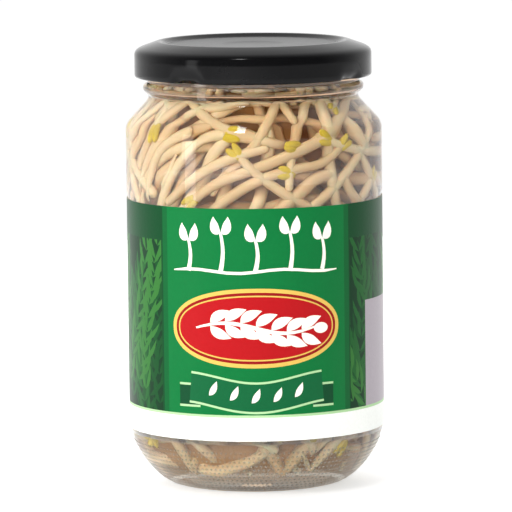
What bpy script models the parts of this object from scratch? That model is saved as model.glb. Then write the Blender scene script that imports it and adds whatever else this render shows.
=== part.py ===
"""A glass jar of mung bean sprouts in brine, closed by a twist-off lid.

Metres, +Z up. The origin is the middle of the ring that the jar stands on.
The jar, the lid and the gasket are turned shapes. The label is a paper strip
wrapped once round the body with a lap at the back. The sprouts are one tangle,
pressed against the inside of the jar and standing in the brine.
"""

import math
import random

import bmesh
import bpy
from mathutils import Vector

MM = 0.001

# Driving dimensions
BODY_RADIUS = 35.8 * MM
LABEL_PANEL_RADIUS = 35.55 * MM
BASE_RING_RADIUS = 22.0 * MM
BASE_RING_INNER_RADIUS = 20.4 * MM
BASE_PUSH_UP = 1.8 * MM
HEEL_HEIGHT = 17.7 * MM
HEEL_ROUNDNESS = 1.6
LABEL_BOTTOM = 16.2 * MM
LABEL_TOP = 80.5 * MM
SHOULDER_START = 99.3 * MM
NECK_RADIUS = 29.2 * MM
NECK_HEIGHT = 108.9 * MM
BEAD_RADIUS = 30.8 * MM
BEAD_HEIGHT = 111.3 * MM
FINISH_RADIUS = 29.5 * MM
RIM_HEIGHT = 120.8 * MM
MOUTH_RADIUS = 27.0 * MM
WALL = 2.3 * MM
FLOOR_THICKNESS = 4.4 * MM

LID_RADIUS = 33.1 * MM
LID_BOTTOM = 114.1 * MM
LID_TOP = 124.1 * MM
LID_CREST_RADIUS = 26.4 * MM
LID_PANEL_DEPTH = 1.0 * MM
LID_SHEET = 0.4 * MM
LUG_COUNT = 4
LUG_REACH = 1.55 * MM
LUG_FLAT_ANGLE = math.radians(4.0)
LUG_BLEND_ANGLE = math.radians(5.0)

THREAD_RADIUS = 30.8 * MM
THREAD_SPAN = math.radians(70.0)
THREAD_LEAD_IN = math.radians(8.0)
THREAD_RISE = 2.0 * MM
OPENING_TURN = math.radians(72.0)
THREAD_THICKNESS = 1.3 * MM

BRINE_LEVEL = 115.5 * MM
BRINE_JACKET = 0.6 * MM
TOUCH_GAP = 0.3 * MM
LABEL_GAP = 0.07 * MM
LABEL_PAPER = 0.18 * MM
LABEL_LAP = math.radians(12.0)

ROUND_STEPS = 40
CORE_STEPS = 24
LID_STEPS = 56

SPROUT_SEED = 7
WALL_SPROUTS = 27
TOP_SPROUTS = 4
STEM_RADIUS = 1.7 * MM
TUBE_SIDES = 5
TUBE_SEGMENTS = 7


def clear_scene():
    for old in list(bpy.data.objects):
        bpy.data.objects.remove(old)


def material(name, colour, roughness, metallic=0.0, transmission=0.0, ior=1.5):
    made = bpy.data.materials.new(name)
    made.use_nodes = True
    shader = made.node_tree.nodes["Principled BSDF"]
    shader.inputs["Base Color"].default_value = (*colour, 1.0)
    shader.inputs["Roughness"].default_value = roughness
    shader.inputs["Metallic"].default_value = metallic
    shader.inputs["Transmission Weight"].default_value = transmission
    shader.inputs["IOR"].default_value = ior
    made.diffuse_color = (*colour, 1.0)
    return made


def link(name, mesh, finish):
    obj = bpy.data.objects.new(name, mesh)
    bpy.context.scene.collection.objects.link(obj)
    mesh.materials.append(finish)
    return obj


def shade_round(obj, sharp_angle=math.radians(35)):
    obj.data.shade_smooth()
    obj.data.set_sharp_from_angle(angle=sharp_angle)


def turned_mesh(name, profile, steps, inward=None):
    """Turns a profile of (radius, height) about Z. It runs from the axis to the axis, or is a closed loop.

    inward(angle, index) says how far a profile point is pressed in at an angle.
    """
    shape = bmesh.new()
    columns = []
    on_axis = {
        index: shape.verts.new((0.0, 0.0, height))
        for index, (radius, height) in enumerate(profile)
        if radius < 1e-9
    }
    for step in range(steps):
        angle = 2 * math.pi * step / steps
        column = []
        for index, (radius, height) in enumerate(profile):
            if index in on_axis:
                column.append(on_axis[index])
                continue
            pressed = radius - (inward(angle, index) if inward else 0.0)
            place = (pressed * math.cos(angle), pressed * math.sin(angle), height)
            column.append(shape.verts.new(place))
        columns.append(column)
    last = len(profile) if not on_axis else len(profile) - 1
    for step in range(steps):
        here, there = columns[step], columns[(step + 1) % steps]
        for index in range(last):
            after = (index + 1) % len(profile)
            corners = [here[index], there[index], there[after], here[after]]
            face = list(dict.fromkeys(corners))
            if len(face) > 2:
                shape.faces.new(face)
    bmesh.ops.recalc_face_normals(shape, faces=shape.faces)
    mesh = bpy.data.meshes.new(name)
    shape.to_mesh(mesh)
    shape.free()
    return mesh


def superellipse(radius_in, radius_out, height_low, height_high, roundness, count):
    """A rounded corner that leaves the floor level and meets the wall upright."""
    points = []
    for i in range(count + 1):
        turn = 0.5 * math.pi * i / count
        across = math.sin(turn) ** (2 / roundness)
        up = 1 - math.cos(turn) ** (2 / roundness)
        points.append(
            (
                radius_in + (radius_out - radius_in) * across,
                height_low + (height_high - height_low) * up,
            )
        )
    return points


def arc(centre, radius, start, end, count):
    return [
        (
            centre[0] + radius * math.cos(start + (end - start) * i / count),
            centre[1] + radius * math.sin(start + (end - start) * i / count),
        )
        for i in range(count + 1)
    ]


def radius_on(profile, height):
    """The radius of a rising profile at a height."""
    for (r0, z0), (r1, z1) in zip(profile, profile[1:]):
        if z0 <= height <= z1 and z1 > z0:
            return r0 + (r1 - r0) * (height - z0) / (z1 - z0)
    return profile[-1][0] if height > profile[-1][1] else profile[0][0]


def outer_wall():
    """The outside of the glass from the ring it stands on up to the rim."""
    heel = superellipse(
        BASE_RING_RADIUS, BODY_RADIUS, 0.0, HEEL_HEIGHT, HEEL_ROUNDNESS, 7
    )
    heel = [p for p in heel if p[0] < LABEL_PANEL_RADIUS - 0.05 * MM]
    panel = [
        (LABEL_PANEL_RADIUS, LABEL_BOTTOM - 0.6 * MM),
        (LABEL_PANEL_RADIUS, LABEL_TOP + 0.7 * MM),
        (BODY_RADIUS, LABEL_TOP + 1.5 * MM),
    ]
    cone_slope = math.radians(43.0)
    shoulder_round = 4.6 * MM
    shoulder = arc(
        (BODY_RADIUS - shoulder_round, SHOULDER_START),
        shoulder_round,
        0.0,
        math.pi / 2 - cone_slope,
        4,
    )
    neck = [
        (NECK_RADIUS + 0.9 * MM, NECK_HEIGHT - 1.7 * MM),
        (NECK_RADIUS + 0.1 * MM, NECK_HEIGHT - 0.6 * MM),
        (NECK_RADIUS + 0.1 * MM, NECK_HEIGHT + 0.3 * MM),
        (BEAD_RADIUS - 0.4 * MM, BEAD_HEIGHT - 1.2 * MM),
        (BEAD_RADIUS, BEAD_HEIGHT - 0.5 * MM),
        (BEAD_RADIUS, BEAD_HEIGHT + 0.4 * MM),
        (BEAD_RADIUS - 0.4 * MM, BEAD_HEIGHT + 0.9 * MM),
        (FINISH_RADIUS, BEAD_HEIGHT + 1.5 * MM),
    ]
    rim_round = 1.0 * MM
    rim = arc(
        (FINISH_RADIUS - rim_round, RIM_HEIGHT - rim_round),
        rim_round,
        0.0,
        math.pi / 2,
        3,
    )
    return heel + panel + shoulder + neck + rim


def inner_wall():
    """The inside of the glass from the middle of the floor up to the mouth."""
    body = BODY_RADIUS - WALL
    floor = superellipse(
        14.0 * MM, body, FLOOR_THICKNESS, HEEL_HEIGHT + 3.0 * MM, 1.9, 5
    )
    shoulder = [
        (body, SHOULDER_START - 1.5 * MM),
        (body - 0.5 * MM, SHOULDER_START + 0.7 * MM),
        (body - 1.8 * MM, SHOULDER_START + 2.6 * MM),
        (MOUTH_RADIUS + 0.8 * MM, NECK_HEIGHT - 2.1 * MM),
        (MOUTH_RADIUS, NECK_HEIGHT - 0.4 * MM),
    ]
    mouth = [
        (MOUTH_RADIUS, RIM_HEIGHT - 0.9 * MM),
        (MOUTH_RADIUS + 0.3 * MM, RIM_HEIGHT - 0.2 * MM),
        (MOUTH_RADIUS + 0.8 * MM, RIM_HEIGHT),
    ]
    return [(0.0, FLOOR_THICKNESS)] + floor + shoulder + mouth


def thread_underside(turn):
    """The height of a thread's underside, a turn away from the closed lug's middle."""
    closed = LID_BOTTOM + 1.35 * MM + TOUCH_GAP
    return closed + THREAD_RISE * turn / OPENING_TURN


def thread_ridge(name, lug_angle, collection):
    """One of the glass ridges that a lug runs under, sunk into the finish."""
    shape = bmesh.new()
    pieces = 14
    sunk = 0.9 * MM
    rings = []
    for i in range(pieces + 1):
        turn = -THREAD_LEAD_IN + THREAD_SPAN * i / pieces
        angle = lug_angle + turn
        low = thread_underside(turn)
        fade = min(1.0, 0.35 + 2.2 * min(i, pieces - i) / pieces)
        out = FINISH_RADIUS + (THREAD_RADIUS - FINISH_RADIUS) * fade
        section = (
            (FINISH_RADIUS - sunk, low - 0.1 * MM),
            (out, low),
            (out, low + 0.55 * THREAD_THICKNESS),
            (FINISH_RADIUS - sunk, low + 1.5 * THREAD_THICKNESS),
        )
        rings.append(
            [
                shape.verts.new((r * math.cos(angle), r * math.sin(angle), z))
                for r, z in section
            ]
        )
    for here, there in zip(rings, rings[1:]):
        for k in range(4):
            after = (k + 1) % 4
            shape.faces.new([here[k], here[after], there[after], there[k]])
    shape.faces.new(rings[0])
    shape.faces.new(list(reversed(rings[-1])))
    bmesh.ops.recalc_face_normals(shape, faces=shape.faces)
    mesh = bpy.data.meshes.new(name)
    shape.to_mesh(mesh)
    shape.free()
    ridge = bpy.data.objects.new(name, mesh)
    collection.objects.link(ridge)


def fuse(base, collection, solver):
    """Joins every object of the collection to base as one body, and removes them."""
    joined = base.modifiers.new("fuse", "BOOLEAN")
    joined.operation = "UNION"
    joined.operand_type = "COLLECTION"
    joined.collection = collection
    joined.solver = solver
    bpy.context.view_layer.objects.active = base
    bpy.ops.object.modifier_apply(modifier=joined.name)
    for used in list(collection.objects):
        bpy.data.objects.remove(used)
    bpy.data.collections.remove(collection)


def keep_outer_skin(obj):
    """Fills the sealed hollows left among fused pieces, and drops any loose scrap."""
    shape = bmesh.new()
    shape.from_mesh(obj.data)
    waiting = set(shape.faces)
    skins = []
    while waiting:
        first = waiting.pop()
        skin, edge_of_search = [first], [first]
        while edge_of_search:
            face = edge_of_search.pop()
            for edge in face.edges:
                for near in edge.link_faces:
                    if near in waiting:
                        waiting.discard(near)
                        skin.append(near)
                        edge_of_search.append(near)
        skins.append(skin)
    outer = max(skins, key=len)
    spare = [face for skin in skins if skin is not outer for face in skin]
    bmesh.ops.delete(shape, geom=spare, context="FACES")
    shape.to_mesh(obj.data)
    shape.free()


def new_collection(name):
    made = bpy.data.collections.new(name)
    bpy.context.scene.collection.children.link(made)
    return made


def make_jar():
    glass = material("clear_soda_lime_glass", (0.93, 0.97, 0.94), 0.02, transmission=1.0)
    underside = [(0.0, BASE_PUSH_UP), (12.0 * MM, 1.5 * MM), (BASE_RING_INNER_RADIUS - 0.5 * MM, 0.3 * MM)]
    ring = [(BASE_RING_INNER_RADIUS, 0.0)]
    profile = underside + ring + outer_wall() + list(reversed(inner_wall()))
    jar = link("jar_glass", turned_mesh("jar_glass", profile, ROUND_STEPS), glass)
    ridges = new_collection("ridges")
    for lug in range(LUG_COUNT):
        thread_ridge(f"ridge_{lug}", lug_centre(lug), ridges)
    fuse(jar, ridges, "MANIFOLD")
    shade_round(jar)
    return jar


def lug_centre(lug):
    return 2 * math.pi * (lug + 0.62) / LUG_COUNT


def lug_press(angle):
    """0 away from the lugs, 1 across the flat of each."""
    pressed = 0.0
    for lug in range(LUG_COUNT):
        away = abs((angle - lug_centre(lug) + math.pi) % (2 * math.pi) - math.pi)
        t = (away - LUG_FLAT_ANGLE) / LUG_BLEND_ANGLE
        t = min(1.0, max(0.0, t))
        pressed = max(pressed, 1 - t * t * (3 - 2 * t))
    return pressed


def lid_profile():
    """(radius, height, share of a lug's press) from the middle of the panel out, down and back inside."""
    panel = LID_TOP - LID_PANEL_DEPTH
    button = panel - 0.35 * MM
    skirt_in = LID_RADIUS - LID_SHEET
    crest = LID_CREST_RADIUS
    curl = LID_RADIUS - 0.85 * MM
    outside = [
        (0.0, button, 0),
        (7.6 * MM, button, 0),
        (9.4 * MM, panel, 0),
        (crest - 2.3 * MM, panel, 0),
        (crest - 1.2 * MM, LID_TOP - 0.25 * MM, 0),
        (crest - 0.3 * MM, LID_TOP, 0),
        (crest + 0.6 * MM, LID_TOP - 0.12 * MM, 0),
        (LID_RADIUS - 0.9 * MM, LID_TOP - 1.7 * MM, 0),
        (LID_RADIUS - 0.22 * MM, LID_TOP - 2.1 * MM, 0),
        (LID_RADIUS, LID_TOP - 2.8 * MM, 0),
        (LID_RADIUS, LID_BOTTOM + 2.3 * MM, 0),
        (LID_RADIUS, LID_BOTTOM + 0.75 * MM, 0.75),
        (LID_RADIUS - 0.25 * MM, LID_BOTTOM + 0.2 * MM, 0.95),
        (curl, LID_BOTTOM, 1),
    ]
    inside = [
        (curl - 0.6 * MM, LID_BOTTOM + 0.2 * MM, 1),
        (curl - 0.85 * MM, LID_BOTTOM + 0.7 * MM, 1),
        (curl - 0.6 * MM, LID_BOTTOM + 1.2 * MM, 1),
        (curl, LID_BOTTOM + 1.35 * MM, 0.9),
        (skirt_in, LID_BOTTOM + 2.4 * MM, 0),
        (skirt_in, LID_TOP - 2.9 * MM, 0),
        (skirt_in - 0.5 * MM, LID_TOP - 2.3 * MM, 0),
        (crest + 0.5 * MM, LID_TOP - 0.52 * MM, 0),
        (crest - 0.9 * MM, LID_TOP - 0.6 * MM, 0),
        (crest - 2.0 * MM, panel - LID_SHEET, 0),
        (9.4 * MM, panel - LID_SHEET, 0),
        (7.6 * MM, button - LID_SHEET, 0),
        (0.0, button - LID_SHEET, 0),
    ]
    return outside + inside


def make_lid():
    lacquer = material("black_lacquered_tinplate", (0.012, 0.012, 0.013), 0.25)
    profile = lid_profile()
    shares = [share for _, _, share in profile]

    def inward(angle, index):
        return LUG_REACH * shares[index] * lug_press(angle)

    outline = [(radius, height) for radius, height, _ in profile]
    lid = link("lid", turned_mesh("lid", outline, LID_STEPS, inward), lacquer)
    shade_round(lid)
    return lid


def make_gasket():
    """The soft ring that the lid presses on the rim."""
    compound = material("pale_plastisol", (0.78, 0.76, 0.70), 0.6)
    low = RIM_HEIGHT + TOUCH_GAP
    loop = [
        (MOUTH_RADIUS + 0.3 * MM, low),
        (LID_RADIUS - 1.6 * MM, low),
        (LID_RADIUS - 1.6 * MM, low + 0.3 * MM),
        (MOUTH_RADIUS + 0.5 * MM, low + 1.6 * MM),
    ]
    gasket = link("gasket", turned_mesh("gasket", loop, ROUND_STEPS), compound)
    shade_round(gasket)
    return gasket


def label_radius(height):
    """How far out the glass lies under the label, which follows the top of the heel."""
    return min(LABEL_PANEL_RADIUS, radius_on(outer_wall(), height))


def make_label():
    """A paper strip wound once round the body, whose end laps over its start at the back."""
    paper = material("printed_green_paper", (0.02, 0.28, 0.08), 0.5)
    step_angle = 2 * math.pi / ROUND_STEPS
    steps = ROUND_STEPS + round(LABEL_LAP / step_angle)
    start = math.pi / 2
    heights = (LABEL_BOTTOM, LABEL_BOTTOM + 1.5 * MM, LABEL_TOP)
    lap_lift = LABEL_PAPER + LABEL_GAP
    shape = bmesh.new()
    rings = []
    for step in range(steps + 1):
        angle = start + step * step_angle
        lift = lap_lift * min(1.0, max(0.0, step - (ROUND_STEPS - 1)))
        inner = [(label_radius(z) + LABEL_GAP + lift, z) for z in heights]
        outer = [(r + LABEL_PAPER, z) for r, z in reversed(inner)]
        rings.append(
            [
                shape.verts.new((r * math.cos(angle), r * math.sin(angle), z))
                for r, z in inner + outer
            ]
        )
    count = len(rings[0])
    for here, there in zip(rings, rings[1:]):
        for k in range(count):
            after = (k + 1) % count
            shape.faces.new([here[k], here[after], there[after], there[k]])
    for end in (rings[0], rings[-1]):
        for k in range(count // 2 - 1):
            shape.faces.new([end[k], end[k + 1], end[count - 2 - k], end[count - 1 - k]])
    bmesh.ops.recalc_face_normals(shape, faces=shape.faces)
    mesh = bpy.data.meshes.new("label")
    shape.to_mesh(mesh)
    shape.free()
    label = link("label", mesh, paper)
    shade_round(label)
    return label


def make_brine():
    """The brine where it meets the glass, and the layer over the sprouts. They stand in its hollow."""
    liquid = material("straw_brine", (0.93, 0.84, 0.62), 0.02, transmission=1.0, ior=1.34)
    wall = inner_wall()
    foot, hollow_top = 9.0 * MM, TANGLE_TOP + TOUCH_GAP
    bends = [p[1] for p in wall if foot < p[1] < BRINE_LEVEL - 1.0 * MM]
    heights = [foot] + bends
    outside = [(radius_on(wall, z) - TOUCH_GAP, z) for z in heights]
    outside.append((MOUTH_RADIUS - TOUCH_GAP, BRINE_LEVEL))
    inside = [
        (radius_on(wall, z) - TOUCH_GAP - BRINE_JACKET, z)
        for z in heights
        if z < hollow_top
    ]
    inside.append((MOUTH_RADIUS - TOUCH_GAP - BRINE_JACKET, hollow_top))
    loop = outside + [(0.0, BRINE_LEVEL), (0.0, hollow_top)] + list(reversed(inside))
    brine = link("brine", closed_turn("brine", loop), liquid)
    shade_round(brine)
    return brine


def closed_turn(name, loop):
    """Turns a loop that runs down the axis for one of its sides."""
    on_axis = [i for i, (radius, _) in enumerate(loop) if radius < 1e-9]
    split = on_axis[-1]
    return turned_mesh(name, loop[split:] + loop[:split], ROUND_STEPS)


def tangle_limit(height):
    """How far out the sprouts may reach at a height."""
    return radius_on(inner_wall(), height) - BRINE_JACKET - 4 * TOUCH_GAP


def tube(name, points, radii, collection):
    """A closed tapering tube along points, pointed at both ends."""
    shape = bmesh.new()
    side = (points[1] - points[0]).orthogonal().normalized()
    rings = []
    for i, (point, radius) in enumerate(zip(points, radii)):
        before, after = points[max(i - 1, 0)], points[min(i + 1, len(points) - 1)]
        along = (after - before).normalized()
        side = (side - along * side.dot(along)).normalized()
        other = along.cross(side)
        ring = []
        for k in range(TUBE_SIDES):
            turn = 2 * math.pi * k / TUBE_SIDES
            offset = side * math.cos(turn) + other * math.sin(turn)
            ring.append(shape.verts.new(point + offset * radius))
        rings.append(ring)
    for here, there in zip(rings, rings[1:]):
        for k in range(TUBE_SIDES):
            after = (k + 1) % TUBE_SIDES
            shape.faces.new([here[k], here[after], there[after], there[k]])
    tips = (
        (rings[0], points[0] - (points[1] - points[0]).normalized() * radii[0]),
        (rings[-1], points[-1] + (points[-1] - points[-2]).normalized() * radii[-1]),
    )
    for ring, tip in tips:
        end = shape.verts.new(tip)
        for k in range(TUBE_SIDES):
            shape.faces.new([ring[k], ring[(k + 1) % TUBE_SIDES], end])
    bmesh.ops.recalc_face_normals(shape, faces=shape.faces)
    mesh = bpy.data.meshes.new(name)
    shape.to_mesh(mesh)
    shape.free()
    collection.objects.link(bpy.data.objects.new(name, mesh))


def sprout_radius(share):
    """The thickness of a sprout from its root tip, at 0, to under its head, at 1."""
    root, stem, neck = 0.55 * MM, STEM_RADIUS, 1.1 * MM
    if share < 0.3:
        return root + (stem - root) * (share / 0.3) ** 1.4
    return stem + (neck - stem) * ((share - 0.3) / 0.7) ** 2


def on_wall(angle, height, radius):
    """The middle of a stem at the side of the tangle, half sunk in the core."""
    height = min(TANGLE_TOP - radius, max(TANGLE_BOTTOM + radius, height))
    out = tangle_limit(height) - STEM_RADIUS
    return Vector((out * math.cos(angle), out * math.sin(angle), height))


def wall_sprout(name, angle, height, heading, bend, length, collection):
    """A sprout pressed against the glass, turning steadily as it goes, with its two seed leaves."""
    points, radii = [], []
    step = length / TUBE_SEGMENTS
    for i in range(TUBE_SEGMENTS + 1):
        radius = sprout_radius(i / TUBE_SEGMENTS)
        points.append(on_wall(angle, height, radius))
        radii.append(radius)
        angle += step * math.cos(heading) / (BODY_RADIUS - WALL)
        height += step * math.sin(heading)
        heading += bend / TUBE_SEGMENTS
        if not TANGLE_BOTTOM + 3 * MM < height < TANGLE_TOP - 6 * MM:
            heading = -heading
            bend = -bend
            height = min(TANGLE_TOP - 6 * MM, max(TANGLE_BOTTOM + 3 * MM, height))
    tube(name, points, radii, collection)
    along = (points[-1] - points[-2]).normalized()
    leaf_length, leaf_radius = 5.0 * MM, 1.5 * MM
    leaf = [points[-1] + along * leaf_length * t for t in (-0.3, 0.2, 0.7)]
    leaf = [on_wall(math.atan2(p.y, p.x), p.z, leaf_radius) for p in leaf]
    tube(name + "_leaf", leaf, [leaf_radius * s for s in (0.7, 1.0, 0.6)], collection)


def top_sprout(name, angle, offset, height, collection):
    """A sprout lying across the top of the tangle."""
    reach = tangle_limit(height) - STEM_RADIUS
    half = math.sqrt(reach * reach - offset * offset) - 1.5 * MM
    across = Vector((math.cos(angle), math.sin(angle), 0.0))
    aside = Vector((-math.sin(angle), math.cos(angle), 0.0))
    points, radii = [], []
    for i in range(TUBE_SEGMENTS + 1):
        share = i / TUBE_SEGMENTS
        sway = 2.0 * MM * math.sin(2 * math.pi * share)
        place = across * half * (2 * share - 1) + aside * (offset + sway)
        points.append(place + Vector((0.0, 0.0, height)))
        radii.append(sprout_radius(share))
    tube(name, points, radii, collection)


def make_sprouts():
    """The tangle: a packed core, and the sprouts round it that stand out of its side and top."""
    flesh = material("cream_sprout", (0.80, 0.62, 0.42), 0.45)
    core_heights = [TANGLE_BOTTOM + 1.5 * MM]
    core_heights += [p[1] for p in inner_wall() if core_heights[0] + 1 * MM < p[1] < CORE_TOP]
    core_heights.append(CORE_TOP)
    side = [(tangle_limit(z) - STEM_RADIUS + 0.1 * MM, z) for z in core_heights]
    profile = [(0.0, side[0][1])] + side + [(0.0, CORE_TOP)]
    core = link("sprout_tangle", turned_mesh("core", profile, CORE_STEPS), flesh)
    draw = random.Random(SPROUT_SEED)
    sprouts = new_collection("sprouts")
    golden_turn = math.pi * (3 - math.sqrt(5))
    for i in range(WALL_SPROUTS):
        height = TANGLE_BOTTOM + (TANGLE_TOP - TANGLE_BOTTOM) * (i + 0.5) / WALL_SPROUTS
        wall_sprout(
            f"sprout_{i}",
            i * golden_turn + draw.uniform(-0.2, 0.2),
            height,
            draw.uniform(-math.pi, math.pi),
            draw.uniform(-1.5, 1.5),
            draw.uniform(38, 58) * MM,
            sprouts,
        )
    for i in range(TOP_SPROUTS):
        offset = (i / (TOP_SPROUTS - 1) - 0.5) * 30 * MM
        top_sprout(f"top_{i}", i * golden_turn, offset, CORE_TOP - 0.2 * MM, sprouts)
    fuse(core, sprouts, "MANIFOLD")
    keep_outer_skin(core)
    shade_round(core)
    return core


TANGLE_BOTTOM = FLOOR_THICKNESS + 0.8 * MM
TANGLE_TOP = 111.2 * MM
CORE_TOP = 108.6 * MM


def main():
    clear_scene()
    make_jar()
    make_label()
    make_brine()
    make_sprouts()
    make_gasket()
    make_lid()


main()
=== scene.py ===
"""A jar of bean sprouts in brine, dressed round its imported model, with a plain studio stage.

Everything is in metres, +Z up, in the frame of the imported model. The front of the label faces -Y.
"""

import math
import random

import bmesh
import bpy
from mathutils import Euler, Matrix, Vector
from mathutils.geometry import delaunay_2d_cdt


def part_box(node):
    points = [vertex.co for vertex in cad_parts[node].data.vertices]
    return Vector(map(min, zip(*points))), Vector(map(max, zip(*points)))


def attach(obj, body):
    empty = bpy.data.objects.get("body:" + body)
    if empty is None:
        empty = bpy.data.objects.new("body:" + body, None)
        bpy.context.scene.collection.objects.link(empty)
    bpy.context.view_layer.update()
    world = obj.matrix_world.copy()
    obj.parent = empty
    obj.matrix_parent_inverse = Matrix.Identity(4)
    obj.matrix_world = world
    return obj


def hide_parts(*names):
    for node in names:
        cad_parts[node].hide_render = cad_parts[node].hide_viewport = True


bl_info = {
    "name": "Jar of Bean Sprouts",
    "version": (1, 0, 0),
    "blender": (4, 5, 0),
    "location": "View3D > Sidebar > Sprout Jar",
    "description": "Builds a glass jar of bean sprouts in brine with its label and twist-off lid",
    "category": "Object",
}

MM = 0.001
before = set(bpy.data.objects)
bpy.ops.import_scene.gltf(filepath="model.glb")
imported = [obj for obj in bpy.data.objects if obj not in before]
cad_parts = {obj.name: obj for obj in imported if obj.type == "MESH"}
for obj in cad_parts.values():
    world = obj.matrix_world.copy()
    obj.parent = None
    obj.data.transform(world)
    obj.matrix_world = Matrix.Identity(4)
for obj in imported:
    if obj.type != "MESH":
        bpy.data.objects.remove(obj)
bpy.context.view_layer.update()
FLOOR_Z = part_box("jar_glass")[0].z


def linear(hex_code):
    """A colour from sRGB hex, as linear red, green, blue and alpha."""
    parts = [int(hex_code[i : i + 2], 16) / 255 for i in (1, 3, 5)]
    return (*(c / 12.92 if c <= 0.04045 else ((c + 0.055) / 1.055) ** 2.4 for c in parts), 1.0)


def length_property(name, description, millimetres):
    return bpy.props.FloatProperty(
        name=name,
        description=description,
        default=millimetres * MM,
        min=0.0,
        precision=5,
        unit="LENGTH",
    )


def colour_property(name, description, hex_code):
    return bpy.props.FloatVectorProperty(
        name=name,
        description=description,
        default=linear(hex_code),
        size=4,
        min=0.0,
        max=1.0,
        subtype="COLOR",
    )


class SproutJarSizes(bpy.types.PropertyGroup):
    body_radius: length_property("Body radius", "Outside radius of the straight body", 35.8)
    panel_radius: length_property("Label panel radius", "Radius of the recess for the label", 35.55)
    heel_height: length_property("Heel height", "Height at which the rounded heel ends", 17.7)
    wall: length_property("Wall", "Thickness of the glass in the body", 2.3)
    floor: length_property("Floor", "Thickness of the glass floor at its middle", 4.4)
    mouth_radius: length_property("Mouth radius", "Inside radius of the mouth", 27.0)
    brine_level: length_property("Brine level", "Height of the brine's surface", 115.5)
    lid_radius: length_property("Lid radius", "Outside radius of the lid's skirt", 33.1)
    lid_bottom: length_property("Lid bottom", "Height of the lid's curled edge", 114.1)
    lid_top: length_property("Lid top", "Height of the lid's raised ring", 124.1)
    label_bottom: length_property("Label bottom", "Height of the label's lower edge", 16.2)
    label_top: length_property("Label top", "Height of the label's upper edge", 80.5)


class SproutJarTangle(bpy.types.PropertyGroup):
    count: bpy.props.IntProperty(
        name="Sprouts", description="Sprouts tried, of which those with room stay", default=800, min=1
    )
    seed: bpy.props.IntProperty(
        name="Seed", description="Seed of every random choice in the tangle", default=4
    )
    stem: length_property("Stem radius", "Radius of a full stem", 1.87)
    sides: bpy.props.IntProperty(
        name="Sides", description="Sides of each stem's section", default=8, min=3
    )
    depth: length_property("Depth", "Thickness of the layers of sprouts round the core", 9.0)


class SproutJarColours(bpy.types.PropertyGroup):
    stem_pale: colour_property("Pale stem", "The palest stems", "#ecd2ab")
    stem_tan: colour_property("Tan stem", "The stems that have taken up most brine", "#cfa474")
    seed_leaf: colour_property("Seed leaf", "The two halves of the bean", "#e6c63c")
    field: colour_property("Label field", "The green that covers the label", "#046b33")
    badge: colour_property("Badge", "The red of the badge", "#aa1016")
    lacquer: colour_property("Lacquer", "The lid's black lacquer", "#0b0b0c")


def add_node(tree, kind, inputs=None, **settings):
    """Adds a node, sets its properties, and gives each input a value or links it from a socket."""
    node = tree.nodes.new(kind)
    for key, value in settings.items():
        setattr(node, key, value)
    for key, value in (inputs or {}).items():
        if isinstance(value, bpy.types.NodeSocket):
            tree.links.new(value, node.inputs[key])
        else:
            node.inputs[key].default_value = value
    return node


def new_material(name):
    made = bpy.data.materials.new(name)
    made.use_nodes = True
    made.node_tree.nodes.clear()
    return made, made.node_tree


def per_metre(millimetres):
    """A texture scale whose features are this many millimetres across."""
    return 1.0 / (millimetres * MM)


def clear_material(name, tint, ior, absorb, density, wave_mm, wave_height):
    """A clear body. Light for what is inside passes it straight, and its depth tints what is seen."""
    made, tree = new_material(name)
    place = add_node(tree, "ShaderNodeTexCoord")
    waves = add_node(
        tree,
        "ShaderNodeTexNoise",
        {"Vector": place.outputs["Object"], "Scale": per_metre(wave_mm), "Detail": 1.0},
    )
    bump = add_node(
        tree,
        "ShaderNodeBump",
        {"Height": waves.outputs["Fac"], "Strength": 1.0, "Distance": wave_height * MM},
    )
    body = add_node(
        tree,
        "ShaderNodeBsdfPrincipled",
        {
            "Base Color": tint,
            "Roughness": 0.0,
            "IOR": ior,
            "Transmission Weight": 1.0,
            "Normal": bump.outputs["Normal"],
        },
    )
    passing = add_node(tree, "ShaderNodeBsdfTransparent", {"Color": tint})
    path = add_node(tree, "ShaderNodeLightPath")
    mixed = add_node(
        tree,
        "ShaderNodeMixShader",
        {"Fac": path.outputs["Is Shadow Ray"], 1: body.outputs[0], 2: passing.outputs[0]},
    )
    depth = add_node(tree, "ShaderNodeVolumeAbsorption", {"Color": absorb, "Density": density})
    add_node(
        tree,
        "ShaderNodeOutputMaterial",
        {"Surface": mixed.outputs[0], "Volume": depth.outputs[0]},
    )
    return made


def mottled_material(name, first, second, grain_mm, roughness, bump_mm=0.0, extra=None, tone=None):
    """A surface whose colour wanders between two near shades, at a grain of a real size."""
    made, tree = new_material(name)
    place = add_node(tree, "ShaderNodeTexCoord")
    grain = add_node(
        tree,
        "ShaderNodeTexNoise",
        {"Vector": place.outputs["Object"], "Scale": per_metre(grain_mm), "Detail": 3.0},
    )
    share = grain.outputs["Fac"]
    if tone:
        carried = add_node(tree, "ShaderNodeAttribute", attribute_name=tone)
        halved = add_node(tree, "ShaderNodeMath", {0: share, 1: 0.5}, operation="MULTIPLY")
        terms = {0: carried.outputs["Fac"], 1: halved.outputs[0]}
        summed = add_node(tree, "ShaderNodeMath", terms, operation="ADD", use_clamp=True)
        share = summed.outputs[0]
    colour = add_node(tree, "ShaderNodeMix", {0: share, 6: first, 7: second}, data_type="RGBA")
    values = {"Base Color": colour.outputs[2], "Roughness": roughness, **(extra or {})}
    if bump_mm:
        bump = add_node(
            tree,
            "ShaderNodeBump",
            {"Height": grain.outputs["Fac"], "Strength": 1.0, "Distance": bump_mm * MM},
        )
        values["Normal"] = bump.outputs["Normal"]
    surface = add_node(tree, "ShaderNodeBsdfPrincipled", values)
    add_node(tree, "ShaderNodeOutputMaterial", {"Surface": surface.outputs[0]})
    return made


def shade(colour, factor):
    return (*(min(1.0, c * factor) for c in colour[:3]), 1.0)


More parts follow.
